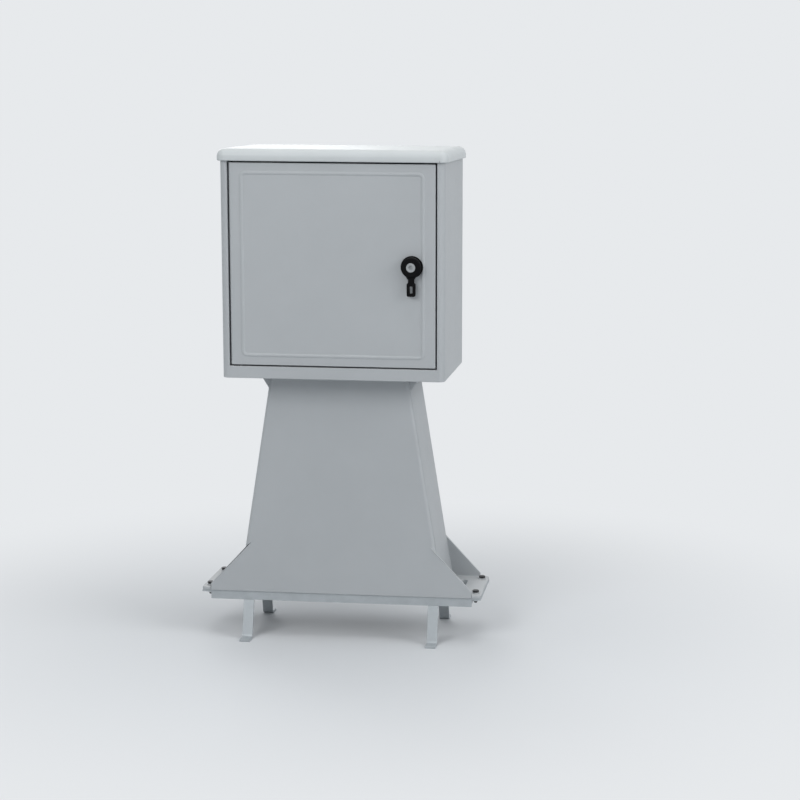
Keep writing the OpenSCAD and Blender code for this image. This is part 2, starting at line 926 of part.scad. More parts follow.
// Tapering column with round upright edges, drawn in by inset: two leaning bars, intersected
module column_solid(inset, edge_r) {
  reach = inset > 0 ? over : 0;
  intersection() {
    translate([-flange_w, -ped_d, -reach])
      cube([2 * flange_w, 2 * ped_d, ped_h + 2 * reach]);
    leaning_bar(inset, edge_r);
    mirror([1, 0, 0])
      leaning_bar(inset, edge_r);
  }
}

// A long bar whose outer face is the column's right side
module leaning_bar(inset, edge_r) {
  translate([col_foot_w / 2, 0, 0])
    rotate([0, -col_lean, 0])
      translate([-col_foot_w - inset, 0, -ped_h])
        linear_extrude(3 * ped_h)
          round_rect(2 * col_foot_w, ped_d - 2 * inset, edge_r);
}

// Outline of the wings at the foot of the front and rear walls, with upright ends
module wing_outline() {
  root = col_w(wing_h) / 2 - 2 * col_edge_r;
  polygon([
    [-wing_w / 2, 0],
    [wing_w / 2, 0],
    [wing_w / 2, wing_foot_h],
    [root, wing_h],
    [-root, wing_h],
    [-wing_w / 2, wing_foot_h]
  ]);
}

// Outline of the collar at the head, which stands back from the front and rear faces
module collar_outline() {
  root = col_w(collar_z) / 2 - 2 * col_edge_r;
  polygon([
    [-root, collar_z],
    [root, collar_z],
    [collar_w / 2, ped_h],
    [-collar_w / 2, ped_h]
  ]);
}

module cabinet_bolts() {
  color(zinc_grey)
    translate([0, 0, body_z + wall + washer_t])
      at_corners(head_bolt_x, head_bolt_pitch / 2)
        hex_bolt(washer_t + wall + flange_t + nut_h + bolt_proud);
}

module cabinet_washers() {
  color(zinc_grey)
    translate([0, 0, body_z + wall])
      at_corners(head_bolt_x, head_bolt_pitch / 2)
        flat_washer();
}

module cabinet_nuts() {
  color(zinc_grey)
    translate([0, 0, head_z - nut_h])
      at_corners(head_bolt_x, head_bolt_pitch / 2)
        hex_nut();
}

module base_bolts() {
  color(zinc_grey)
    translate([0, 0, base_seat_z + washer_t])
      at_corners(base_bolt_x, base_bolt_y)
        hex_bolt(washer_t + flange_t + angle_t + nut_h + bolt_proud);
}

module base_washers() {
  color(zinc_grey)
    translate([0, 0, base_seat_z])
      at_corners(base_bolt_x, base_bolt_y)
        flat_washer();
}

module base_nuts() {
  color(zinc_grey)
    translate([0, 0, frame_h - angle_t - nut_h])
      at_corners(base_bolt_x, base_bolt_y)
        hex_nut();
}

// Welded angle bars: front and rear flanges point inwards, side flanges point outwards under the base flange
module anchor_frame() {
  color(zinc_grey)
    difference() {
      union() {
        for (side = [-1, 1]) {
          translate([-frame_w / 2, side * (frame_d - angle_t) / 2 - angle_t / 2, 0])
            cube([frame_w, angle_t, frame_h]);
          translate([-frame_w / 2, side * (frame_d - angle_w) / 2 - angle_w / 2, frame_h - angle_t])
            cube([frame_w, angle_w, angle_t]);
          translate([side * (frame_side_w - angle_t) / 2 - angle_t / 2, -frame_d / 2, 0])
            cube([angle_t, frame_d, frame_h]);
          translate([side * (flange_w - side_flange_w) / 2, 0, frame_h - angle_t / 2])
            cube([side_flange_w, frame_d, angle_t], center = true);
        }
      }
      translate([0, 0, frame_h - angle_t - over])
        at_corners(base_bolt_x, base_bolt_y)
          cylinder(d = bolt_d + hole_clear, h = angle_t + 2 * over);
    }
}

module anchor_legs() {
  color(zinc_grey)
    for (side = [0, 180], x = [-1, 1])
      rotate([0, 0, side])
        translate([x * leg_pitch / 2 - leg_w / 2, -frame_d / 2, 0])
          rotate([90, 0, 90])
            linear_extrude(leg_w)
              leg_section();
}

// Strip that leans outwards under the rail and turns into a level foot; X is the depth behind the rail's face
module leg_section() {
  bend_out = foot_bend_r + leg_t;
  bend_y = -leg_drop + bend_out;
  run = (foot_bend_r * sin(leg_lean) - bend_y) / cos(leg_lean);
  bend_x = -run * sin(leg_lean) - foot_bend_r * cos(leg_lean);
  intersection() {
    rotate(-leg_lean)
      translate([0, -run])
        square([leg_t, run + leg_t]);
    translate([-leg_drop, -leg_drop])
      square([2 * leg_drop, leg_drop]);
  }
  translate([bend_x, bend_y])
    intersection() {
      difference() {
        circle(bend_out);
        circle(foot_bend_r);
      }
      wedge(2 * bend_out);
    }
  translate([-foot_out, -leg_drop])
    square([bend_x + foot_out, leg_t]);
}

// Sector from straight down to the level of the leaning strip
module wedge(reach) {
  polygon([
    [0, 0],
    [0, -reach],
    [reach, -reach],
    [reach * cos(leg_lean), -reach * sin(leg_lean)]
  ]);
}

cabinet_body();
roof_cap();
roof_screws();
door();
door_gasket();
hinge_pins();
hinge_washers();
lock_rosette();
lock_nut();
lock_handle();
key_plug();
lock_spindle();
latch_cam();
cam_screw();
mounting_plate();
plate_screws();
gland_plate();
gland_screws();
cable_grommets();
pedestal();
cabinet_bolts();
cabinet_washers();
cabinet_nuts();
base_bolts();
base_washers();
base_nuts();
anchor_frame();
anchor_legs();
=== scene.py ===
# %% [markdown]
# # Dressing a roadside utility cabinet
# The real cabinet is a grey glass-fibre moulding with one door, on a hollow moulded pedestal.
# The CAD model already has every solid in its place, so it is loaded first and nothing is fitted by eye.
# Its box is kept at once, because the dressed cabinet may not grow out of it.
# The record says which body each node moves with and which material it has, so both are looked up there.

# %% Load the CAD frame
import bmesh
import bpy
import json
import math
from mathutils import Euler, Matrix, Vector


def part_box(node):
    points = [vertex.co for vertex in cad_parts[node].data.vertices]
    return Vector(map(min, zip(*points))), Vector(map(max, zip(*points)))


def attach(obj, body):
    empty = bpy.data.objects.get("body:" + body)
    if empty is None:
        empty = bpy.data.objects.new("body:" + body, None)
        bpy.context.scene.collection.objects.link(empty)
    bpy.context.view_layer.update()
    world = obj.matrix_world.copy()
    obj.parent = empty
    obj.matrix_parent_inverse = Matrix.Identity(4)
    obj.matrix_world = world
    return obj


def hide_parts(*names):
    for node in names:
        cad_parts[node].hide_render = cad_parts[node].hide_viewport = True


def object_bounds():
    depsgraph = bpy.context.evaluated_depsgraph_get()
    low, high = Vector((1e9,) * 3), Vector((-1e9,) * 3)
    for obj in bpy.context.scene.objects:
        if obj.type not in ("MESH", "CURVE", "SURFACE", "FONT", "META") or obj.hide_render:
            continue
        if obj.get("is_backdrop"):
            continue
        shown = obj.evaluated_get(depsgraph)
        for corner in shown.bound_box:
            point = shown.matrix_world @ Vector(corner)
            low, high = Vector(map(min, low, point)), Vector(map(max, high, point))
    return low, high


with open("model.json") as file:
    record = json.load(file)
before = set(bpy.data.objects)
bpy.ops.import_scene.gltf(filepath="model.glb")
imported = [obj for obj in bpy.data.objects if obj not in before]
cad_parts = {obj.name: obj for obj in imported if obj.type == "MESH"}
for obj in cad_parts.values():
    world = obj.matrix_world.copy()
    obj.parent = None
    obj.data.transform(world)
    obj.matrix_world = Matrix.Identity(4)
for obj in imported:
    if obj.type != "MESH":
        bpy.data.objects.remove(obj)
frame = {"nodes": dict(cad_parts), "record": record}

cad_low, cad_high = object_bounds()
body_of_node = {n: b for b, ns in frame["record"]["behaviour"]["bodies"].items() for n in ns}
slot_of_node = {p["node"]: p["material_slot"] for p in frame["record"]["subparts"]}
print("CAD box in metres:", [round(v, 4) for v in cad_low], [round(v, 4) for v in cad_high])

# %% [markdown]
# ## Camera
# The photograph was taken from the right of the cabinet and a little above it, with a long lens.
# A camera turned towards the cabinet would make its front edges run together, and they stay nearly level.
# So the lens is shifted, as on a view camera, and the rest is set by place, turn, tilt and roll.

# %% Make the camera
cam_place = (0.7965, -4.3109, 1.1728)
cam_turn, cam_tilt, cam_roll = (math.radians(a) for a in (5.947, -9.252, 0.391))
cam_data = bpy.data.cameras.new("photo_camera")
cam_data.lens = 86.25
cam_data.shift_x = -0.12
camera = bpy.data.objects.new("photo_camera", cam_data)
bpy.context.scene.collection.objects.link(camera)
aim = Euler((math.pi / 2 + cam_tilt, 0, cam_turn)).to_matrix() @ Matrix.Rotation(cam_roll, 3, "Z")
camera.matrix_world = Matrix.Translation(cam_place) @ aim.to_4x4()
bpy.context.scene.camera = camera
bpy.context.scene.view_settings.view_transform = "Standard"
print("camera at", cam_place, "with a", cam_data.lens, "mm lens")

# %% [markdown]
# ## A helper for node trees
# Every finish below is a small tree of nodes, and each node needs the same few lines: make it, set it, wire it.
# One helper does that, so that the cells show what a tree does and not how it is typed.

# %% A helper that adds one node
def add(tree, kind, inputs=None, **settings):
    n = tree.nodes.new(kind)
    for key, value in settings.items():
        setattr(n, key, value)
    for key, value in (inputs or {}).items():
        if isinstance(value, bpy.types.NodeSocket):
            tree.links.new(value, n.inputs[key])
        else:
            n.inputs[key].default_value = value
    return n


# %% [markdown]
# ## Floor and light
# The cabinet stands on a plain pale floor, on the soles of its anchor legs.
# It is a single face, large enough to have no visible end.

# %% Lay the floor
FLOOR_HALF = 14.0
floor_mesh = bpy.data.meshes.new("studio_floor")
corners = [(x * FLOOR_HALF, y * FLOOR_HALF, cad_low.z) for x, y in ((-1, -1), (1, -1), (1, 1), (-1, 1))]
floor_mesh.from_pydata(corners, [], [(0, 1, 2, 3)])
floor = bpy.data.objects.new("studio_floor", floor_mesh)
bpy.context.scene.collection.objects.link(floor)
floor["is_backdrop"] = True
print("floor at", round(cad_low.z, 4))

# %% [markdown]
# Far from the cabinet the floor fades into the pale tone of the backdrop, so that no horizon cuts the picture.
# A floor that bright would also throw its light back up at the cabinet.
# So the tone is there only for the camera and for mirror images in metal, and the lamps light the cabinet.

# %% A helper that tells whether a ray looks at the scene
def looking(tree):
    path = add(tree, "ShaderNodeLightPath").outputs
    seen = path["Is Camera Ray"]
    for other in ("Is Glossy Ray", "Is Transmission Ray"):
        seen = add(tree, "ShaderNodeMath", {0: seen, 1: path[other]}, operation="MAXIMUM").outputs[0]
    return seen


# %% Paint the floor
PALE, FLOOR_GREY = (0.80, 0.82, 0.84, 1), (0.62, 0.64, 0.66, 1)
FADE_START, FADE_END = 0.3, 1.5
floor_paint = bpy.data.materials.new("pale_floor")
floor_paint.use_nodes = True
tree = floor_paint.node_tree
matt = tree.nodes["Principled BSDF"]
matt.inputs["Base Color"].default_value = FLOOR_GREY
matt.inputs["Roughness"].default_value = 0.8
spot = add(tree, "ShaderNodeTexCoord").outputs["Object"]
away = add(tree, "ShaderNodeVectorMath", {0: spot}, operation="LENGTH").outputs["Value"]
far = add(tree, "ShaderNodeMapRange", {"Value": away, "From Min": FADE_START, "From Max": FADE_END},
          interpolation_type="SMOOTHSTEP").outputs[0]
fade = add(tree, "ShaderNodeMath", {0: far, 1: looking(tree)}, operation="MULTIPLY").outputs[0]
tone = add(tree, "ShaderNodeEmission", {"Color": PALE})
mixed = add(tree, "ShaderNodeMixShader", {0: fade, 1: matt.outputs[0], 2: tone.outputs[0]})
tree.links.new(mixed.outputs[0], tree.nodes["Material Output"].inputs["Surface"])
floor_mesh.materials.append(floor_paint)
print("the floor fades from", FADE_START, "to", FADE_END, "m")

# %% [markdown]
# A studio lights such a box with large soft lamps: one in front on the left, one on the right, one overhead.
# A fourth, weaker one stands behind, so that the back is not lost when the cabinet is seen from there.
# The lamps stay at a plain level, at which a colour renders about as it is written.

# %% Hang the lamps
def soft_lamp(name, place, target, size, watts):
    data = bpy.data.lights.new(name, "AREA")
    data.shape, data.size, data.energy = "SQUARE", size, watts
    lamp = bpy.data.objects.new(name, data)
    lamp.location = place
    lamp.rotation_euler = (Vector(target) - Vector(place)).to_track_quat("-Z", "Y").to_euler()
    bpy.context.scene.collection.objects.link(lamp)


soft_lamp("front_lamp", (-1.5, -3.5, 2.8), (0, 0, 0.5), 2.0, 78)
soft_lamp("side_lamp", (3.4, -1.2, 2.2), (0, 0, 0.6), 2.4, 72)
soft_lamp("top_lamp", (0.2, -0.3, 3.9), (0, 0, 0.5), 2.6, 40)
soft_lamp("rear_lamp", (-1.6, 3.4, 2.4), (0, 0, 0.6), 2.4, 46)

# %% [markdown]
# The backdrop is the world around the scene. It could be a wall, but a wall would catch shadows.
# Whoever looks at it sees the floor's pale tone.
# All other rays get a weak bluish light, which fills the shadows as the walls of a bright room would.

# %% Paint the backdrop
world = bpy.data.worlds.new("studio")
world.use_nodes = True
tree = world.node_tree
room = tree.nodes["Background"]
ROOM_LIGHT, ROOM_STRENGTH = (0.86, 0.89, 0.92, 1), 0.36
room.inputs["Color"].default_value = ROOM_LIGHT
room.inputs["Strength"].default_value = ROOM_STRENGTH
backdrop = add(tree, "ShaderNodeBackground", {"Color": PALE})
mixed = add(tree, "ShaderNodeMixShader", {0: looking(tree), 1: room.outputs[0], 2: backdrop.outputs[0]})
tree.links.new(mixed.outputs[0], tree.nodes["World Output"].inputs["Surface"])
bpy.context.scene.world = world
print("backdrop tone", PALE[:3], "with a room light of", ROOM_STRENGTH)

# %% [markdown]
# ## Shared surface effects
# Most finishes here need the same few things: a cloudy colour, a fine grain, rubbed edges with a painted
# highlight and some dust.
# They could be drawn in each material, but a node group keeps one good recipe and takes its sizes as inputs.
# Everything reads Object coordinates, so the pattern sticks to the piece when the door swings.

# %% A helper that starts a node group
def start_group(name, inputs, outputs, kind="ShaderNodeTree"):
    tree = bpy.data.node_groups.new(name, kind)
    for label, socket, value in inputs:
        made = tree.interface.new_socket(label, in_out="INPUT", socket_type=socket)
        if value is not None:
            made.default_value = value
    for label, socket in outputs:
        tree.interface.new_socket(label, in_out="OUTPUT", socket_type=socket)
    return tree, tree.nodes.new("NodeGroupInput").outputs, tree.nodes.new("NodeGroupOutput").inputs


FLOAT, COLOUR = "NodeSocketFloat", "NodeSocketColor"

# %% [markdown]
# A moulding or a zinc coat is never one even colour.
# It could be painted by hand, but a slow noise drifts the shade by a small share with no seam at the edges.
# The noise goes out as well, because a finish can use the same drift for its gloss.

# %% Cloudy colour: a slow drift of shade over a surface
cloudy, given, out = start_group(
    "cloudy_colour",
    [("Colour", COLOUR, (0.4, 0.4, 0.4, 1)), ("Scale", FLOAT, 6.0), ("Spread", FLOAT, 0.05)],
    [("Colour", COLOUR), ("Drift", FLOAT)],
)
place = add(cloudy, "ShaderNodeTexCoord").outputs["Object"]
drift = add(cloudy, "ShaderNodeTexNoise",
            {"Vector": place, "Scale": given["Scale"], "Detail": 5.0, "Roughness": 0.6}).outputs["Fac"]
low = add(cloudy, "ShaderNodeMath", {0: 1.0, 1: given["Spread"]}, operation="SUBTRACT").outputs[0]
high = add(cloudy, "ShaderNodeMath", {0: 1.0, 1: given["Spread"]}, operation="ADD").outputs[0]
shade = add(cloudy, "ShaderNodeMapRange",
            {"Value": drift, "From Min": 0.3, "From Max": 0.7, "To Min": low, "To Max": high}).outputs[0]
tinted = add(cloudy, "ShaderNodeVectorMath", {0: given["Colour"], "Scale": shade}, operation="SCALE").outputs[0]
cloudy.links.new(tinted, out["Colour"])
cloudy.links.new(drift, out["Drift"])
print("group", cloudy.name)

# %% [markdown]
# Glass fibre prints through the resin as faint cells, and the mould leaves a finer grit on top of them.
# A picture of such a skin would show where it repeats. Noise and Voronoi cells have neither seam nor end.
# Only a height goes out, which each material feeds to a bump.

# %% Fine grain: the print of the mould, as a height
grain, given, out = start_group(
    "fine_grain",
    [("Scale", FLOAT, 700.0), ("Fibre", FLOAT, 0.3)],
    [("Height", FLOAT)],
)
place = add(grain, "ShaderNodeTexCoord").outputs["Object"]
grit = add(grain, "ShaderNodeTexNoise",
           {"Vector": place, "Scale": given["Scale"], "Detail": 3.0}).outputs["Fac"]
FIBRE_SCALE = 0.12
broad = add(grain, "ShaderNodeMath", {0: given["Scale"], 1: FIBRE_SCALE}, operation="MULTIPLY").outputs[0]
cells = add(grain, "ShaderNodeTexVoronoi", {"Vector": place, "Scale": broad},
            feature="SMOOTH_F1").outputs["Distance"]
fibre = add(grain, "ShaderNodeMath", {0: cells, 1: given["Fibre"]}, operation="MULTIPLY").outputs[0]
height = add(grain, "ShaderNodeMath", {0: grit, 1: fibre}, operation="ADD").outputs[0]
grain.links.new(height, out["Height"])
print("group", grain.name)

# %% [markdown]
# Hands, tools and weather rub the edges first, and edges catch the light, so edges are painted lighter: wear,
# and a painted highlight. That could be painted by hand on every piece.
# The Bevel node finds edges by itself: near one, the normal of a wide bevel leaves the true normal.
# Noise then breaks the line into patches, because wear is never even.

# %% Rubbed edges with a painted highlight: where a wide bevel would turn the surface most
edge_wear_and_highlight, given, out = start_group(
    "worn_and_highlit_edges",
    [("Radius", FLOAT, 0.003), ("Scale", FLOAT, 60.0)],
    [("Mask", FLOAT)],
)
place = add(edge_wear_and_highlight, "ShaderNodeTexCoord").outputs["Object"]
wide = add(edge_wear_and_highlight, "ShaderNodeBevel", {"Radius": given["Radius"]}, samples=4).outputs["Normal"]
flat = add(edge_wear_and_highlight, "ShaderNodeNewGeometry").outputs["Normal"]
same = add(edge_wear_and_highlight, "ShaderNodeVectorMath", {0: wide, 1: flat}, operation="DOT_PRODUCT").outputs["Value"]
bent = add(edge_wear_and_highlight, "ShaderNodeMapRange", {"Value": same, "From Min": 0.98, "From Max": 0.8}).outputs[0]
patch = add(edge_wear_and_highlight, "ShaderNodeTexNoise",
            {"Vector": place, "Scale": given["Scale"], "Detail": 4.0}).outputs["Fac"]
patchy = add(edge_wear_and_highlight, "ShaderNodeMapRange", {"Value": patch, "From Min": 0.4, "From Max": 0.6}).outputs[0]
# The mask marks edges for a lighter colour: wear, and a painted highlight along them.
mask = add(edge_wear_and_highlight, "ShaderNodeMath", {0: bent, 1: patchy}, operation="MULTIPLY").outputs[0]
edge_wear_and_highlight.links.new(mask, out["Mask"])
print("group", edge_wear_and_highlight.name)

# %% [markdown]
# Dust lies on what faces up. A painted mask would have to be made anew for each piece.
# The upward part of the normal finds those faces on any piece, and noise makes the film uneven.

# %% Settled dust: a thin pale film on what faces up
dusty, given, out = start_group(
    "settled_dust",
    [("Scale", FLOAT, 25.0), ("Amount", FLOAT, 0.3)],
    [("Mask", FLOAT)],
)
place = add(dusty, "ShaderNodeTexCoord").outputs["Object"]
faces = add(dusty, "ShaderNodeNewGeometry").outputs["Normal"]
up = add(dusty, "ShaderNodeSeparateXYZ", {0: faces}).outputs["Z"]
level = add(dusty, "ShaderNodeMapRange", {"Value": up, "From Min": 0.6, "From Max": 1.0}).outputs[0]
patch = add(dusty, "ShaderNodeTexNoise",
            {"Vector": place, "Scale": given["Scale"], "Detail": 6.0}).outputs["Fac"]
film = add(dusty, "ShaderNodeMath", {0: level, 1: patch}, operation="MULTIPLY").outputs[0]
mask = add(dusty, "ShaderNodeMath", {0: film, 1: given["Amount"]}, operation="MULTIPLY").outputs[0]
dusty.links.new(mask, out["Mask"])
print("group", dusty.name)

# %% [markdown]
# ## Finishes
# The mouldings are through-coloured resin: dull, finely grained, with no paint to chip.
# The roof cap on the photograph is the same resin in a paler grey.
# Each finish is one small function call, so that all mouldings share a recipe and differ only in numbers.

# %% Moulded resin
DUST = (0.62, 0.61, 0.58, 1)


def begin_material(name):
    mat = bpy.data.materials.new(name)
    mat.use_nodes = True
    tree = mat.node_tree
    return mat, tree, tree.nodes["Principled BSDF"]


def add_group(tree, group, values):
    n = tree.nodes.new("ShaderNodeGroup")
    n.node_tree = group
    for key, value in values.items():
        n.inputs[key].default_value = value
    return n.outputs


def mix_colour(tree, mask, a, b):
    return add(tree, "ShaderNodeMix", {"Factor": mask, 6: a, 7: b}, data_type="RGBA").outputs[2]


def resin(name, colour, rough, edge_wear_and_highlight_colour, dust):
    mat, tree, shader = begin_material(name)
    cloud = add_group(tree, cloudy, {"Colour": colour, "Scale": 5.0, "Spread": 0.025})
    edges = add_group(tree, edge_wear_and_highlight, {"Radius": 0.0025, "Scale": 45.0})["Mask"]
    film = add_group(tree, dusty, {"Scale": 22.0, "Amount": dust})["Mask"]
    height = add_group(tree, grain, {"Scale": 620.0, "Fibre": 0.35})["Height"]
    # Edges turn lighter: wear, and a painted highlight along them.
    edged = mix_colour(tree, edges, cloud["Colour"], edge_wear_and_highlight_colour)
    tree.links.new(mix_colour(tree, film, edged, DUST), shader.inputs["Base Color"])
    dull = add(tree, "ShaderNodeMapRange", {"Value": height, "From Min": 0.3, "From Max": 0.9,
                                            "To Min": rough - 0.07, "To Max": rough + 0.07}).outputs[0]
    tree.links.new(dull, shader.inputs["Roughness"])
    bump = add(tree, "ShaderNodeBump", {"Height": height, "Strength": 0.22, "Distance": 0.0006})
    tree.links.new(bump.outputs["Normal"], shader.inputs["Normal"])
    shader.inputs["Specular IOR Level"].default_value = 0.42
    return mat


moulding = resin("grey_moulding", colour=(0.386, 0.407, 0.423, 1), rough=0.52,
                 edge_wear_and_highlight_colour=(0.5, 0.52, 0.53, 1), dust=0.25)
roof_resin = resin("pale_roof_moulding", colour=(0.5, 0.53, 0.54, 1), rough=0.47,
                   edge_wear_and_highlight_colour=(0.64, 0.66, 0.67, 1), dust=0.3)
print("resin finishes:", moulding.name, roof_resin.name)

# %% [markdown]
# Hot-dip zinc freezes in flat crystals a few millimetres wide, each with its own grey and its own gloss.
# A Voronoi texture gives such cells at once, and its random cell colour drives both shade and roughness.
# Plated bolts and plates carry a thinner, finer coat, so they use the same recipe with smaller cells.
# The bolts at the foot look nearly black, partly from the shade they sit in, so they get a nearly black colour
# with that shade painted in.

# %% Zinc, dipped and plated
def zinc(name, colour, edge_wear_and_highlight_colour, cells, spread, rough, metal):
    mat, tree, shader = begin_material(name)
    place = add(tree, "ShaderNodeTexCoord").outputs["Object"]
    flakes = add(tree, "ShaderNodeTexVoronoi", {"Vector": place, "Scale": cells})
    flake = add(tree, "ShaderNodeSeparateColor", {0: flakes.outputs["Color"]}).outputs[0]
    cloud = add_group(tree, cloudy, {"Colour": colour, "Scale": 30.0, "Spread": 0.05})["Colour"]
    light = add(tree, "ShaderNodeMapRange",
                {"Value": flake, "To Min": 1 - spread, "To Max": 1 + spread}).outputs[0]
    cast = add(tree, "ShaderNodeVectorMath", {0: cloud, "Scale": light}, operation="SCALE").outputs[0]
    edges = add_group(tree, edge_wear_and_highlight, {"Radius": 0.0012, "Scale": 90.0})["Mask"]
    # Edges turn lighter: wear, and a painted highlight along them.
    tree.links.new(mix_colour(tree, edges, cast, edge_wear_and_highlight_colour), shader.inputs["Base Color"])
    dull = add(tree, "ShaderNodeMapRange",
               {"Value": flake, "To Min": rough - 0.08, "To Max": rough + 0.1}).outputs[0]
    tree.links.new(dull, shader.inputs["Roughness"])
    height = add_group(tree, grain, {"Scale": 900.0, "Fibre": 0.5})["Height"]
    bump = add(tree, "ShaderNodeBump", {"Height": height, "Strength": 0.18, "Distance": 0.0004})
    tree.links.new(bump.outputs["Normal"], shader.inputs["Normal"])
    shader.inputs["Metallic"].default_value = metal
    return mat


dipped_zinc = zinc("dipped_zinc", colour=(0.385, 0.415, 0.435, 1), edge_wear_and_highlight_colour=(0.56, 0.58, 0.6, 1),
                   cells=110.0, spread=0.04, rough=0.56, metal=0.35)
plated_zinc = zinc("plated_zinc", colour=(0.5, 0.52, 0.53, 1), edge_wear_and_highlight_colour=(0.72, 0.74, 0.75, 1),
                   cells=420.0, spread=0.06, rough=0.36, metal=0.75)
plug_metal = zinc("turned_plug", colour=(0.31, 0.325, 0.335, 1), edge_wear_and_highlight_colour=(0.4, 0.41, 0.42, 1),
                  cells=600.0, spread=0.05, rough=0.5, metal=0.3)
# Nearly black: the steel's dark colour with painted shade in it.
dark_steel = zinc("dark_steel", colour=(0.035, 0.036, 0.038, 1), edge_wear_and_highlight_colour=(0.12, 0.12, 0.12, 1),
                  cells=500.0, spread=0.12, rough=0.5, metal=0.6)
print("zinc finishes:", dipped_zinc.name, plated_zinc.name, plug_metal.name, dark_steel.name)

# %% [markdown]
# The lock is satin black, the gasket and the cable grommets are rubber, and the hinge washers are dark nylon.
# These are plain dark plastics, yet none is a flat colour: they bloom, scuff, pick up dust and have edges
# painted lighter as a highlight.

# %% Black lock, rubber and nylon
def plastic(name, colour, rough, edge_wear_and_highlight_colour, dust, grit):
    mat, tree, shader = begin_material(name)
    cloud = add_group(tree, cloudy, {"Colour": colour, "Scale": 40.0, "Spread": 0.12})
    edges = add_group(tree, edge_wear_and_highlight, {"Radius": 0.0011, "Scale": 120.0})["Mask"]
    film = add_group(tree, dusty, {"Scale": 60.0, "Amount": dust})["Mask"]
    # Edges turn lighter: scuffing, and a painted highlight along them.
    edged = mix_colour(tree, edges, cloud["Colour"], edge_wear_and_highlight_colour)
    tree.links.new(mix_colour(tree, film, edged, DUST), shader.inputs["Base Color"])
    dull = add(tree, "ShaderNodeMapRange", {"Value": cloud["Drift"], "From Min": 0.3, "From Max": 0.7,
                                            "To Min": rough - 0.06, "To Max": rough + 0.06}).outputs[0]
    tree.links.new(dull, shader.inputs["Roughness"])
    height = add_group(tree, grain, {"Scale": grit, "Fibre": 0.2})["Height"]
    bump = add(tree, "ShaderNodeBump", {"Height": height, "Strength": 0.15, "Distance": 0.0003})
    tree.links.new(bump.outputs["Normal"], shader.inputs["Normal"])
    shader.inputs["Specular IOR Level"].default_value = 0.06
    return mat


lock_black = plastic("satin_black", colour=(0.004, 0.004, 0.0045, 1), rough=0.55,
                     edge_wear_and_highlight_colour=(0.025, 0.025, 0.026, 1), dust=0.06, grit=1400.0)
rubber = plastic("black_rubber", colour=(0.022, 0.022, 0.022, 1), rough=0.72,
                 edge_wear_and_highlight_colour=(0.05, 0.05, 0.05, 1), dust=0.25, grit=900.0)
nylon = plastic("dark_nylon", colour=(0.04, 0.041, 0.043, 1), rough=0.5,
                edge_wear_and_highlight_colour=(0.09, 0.09, 0.09, 1), dust=0.1, grit=1200.0)
print("plastics:", lock_black.name, rubber.name, nylon.name)

# %% [markdown]
# ## One finish for each CAD node
# The record names a material slot for each node, so a short table is enough to paint them all.
# The pieces made below take their finish from the same table.

# %% Paint the CAD nodes
finish_of_slot = {"moulding": moulding, "roof_moulding": roof_resin, "lock_black": lock_black,
                  "plug_metal": plug_metal, "zinc_steel": plated_zinc, "galvanised_steel": dipped_zinc,
                  "dark_steel": dark_steel, "rubber": rubber, "nylon": nylon}
finish_of_node = {n: finish_of_slot[slot] for n, slot in slot_of_node.items()}
for name, node in frame["nodes"].items():
    node.data.materials.clear()
    node.data.materials.append(finish_of_node[name])
print("painted", len(frame["nodes"]), "nodes")

# %% [markdown]
# ## Soft edges
# A moulding never leaves its mould with a knife edge, and the thin bright line along an edge shows that.
# So each CAD node gets a copy with soft edges that stands in for it and moves with the same body.
# The copy's shading follows its large faces, so that a flat panel stays flat up to its bevel.

# %% Hand a finished mesh over to the frame
SHARP = math.radians(40)


def hand_over(node, mesh):
    mesh.shade_smooth()
    mesh.set_sharp_from_angle(angle=SHARP)
    piece = bpy.data.objects.new(node + "_dressed", mesh)
    bpy.context.scene.collection.objects.link(piece)
    weigh = piece.modifiers.new("weigh", "WEIGHTED_NORMAL")
    weigh.weight, weigh.keep_sharp = 100, True
    piece.data = bpy.data.meshes.new_from_object(piece.evaluated_get(bpy.context.evaluated_depsgraph_get()))
    piece.modifiers.clear()
    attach(piece, body_of_node[node])
    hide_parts(node)
    print(piece.name, len(mesh.polygons), "faces")


# %% [markdown]
# A Bevel modifier rounds the edges of a clean mesh, but the CAD meshes come as loose triangles.
# So the corners of each copy are merged and its flat faces joined first.
# Then the bevel is cut into the mesh itself, where chosen edges can have a wider one than the rest.

# %% Copies with a bevel
WELD = 2e-5
FLAT, KEEN = math.radians(1.0), math.radians(35)


def bevel(bm, edges, width, steps):
    bmesh.ops.bevel(bm, geom=edges, offset=width, offset_type="OFFSET", segments=steps, profile=0.5,
                    affect="EDGES", clamp_overlap=False)


def soften(node, width, wide_edge=None, wide=0.0, reshape=None):
    bm = bmesh.new()
    bm.from_mesh(frame["nodes"][node].data)
    bmesh.ops.remove_doubles(bm, verts=bm.verts, dist=WELD)
    bmesh.ops.dissolve_limit(bm, angle_limit=FLAT, verts=bm.verts, edges=bm.edges)
    if reshape:
        reshape(bm)
    if wide_edge:
        bevel(bm, [e for e in bm.edges if wide_edge(e)], wide, steps=4)
    keen = [e for e in bm.edges if e.is_manifold and e.calc_face_angle() > KEEN]
    bevel(bm, keen, width, steps=2)
    mesh = bpy.data.meshes.new(node + "_dressed")
    bm.to_mesh(mesh)
    bm.free()
    mesh.materials.append(finish_of_node[node])
    hand_over(node, mesh)


for node, width in (("cabinet_body", 0.0012), ("door", 0.001), ("pedestal", 0.0015)):
    soften(node, width)

# %% [markdown]
# The roof cap's crown comes from two straight profiles, which meet in a mitre at each corner.
# A mould is polished round there, so the corners become part of a ball, with a round column below it.
# The skin is cut along the planes through the four balls, its corner faces are divided finely,
# and every point of the skin is pushed to the same distance from the box that the balls' centres span.

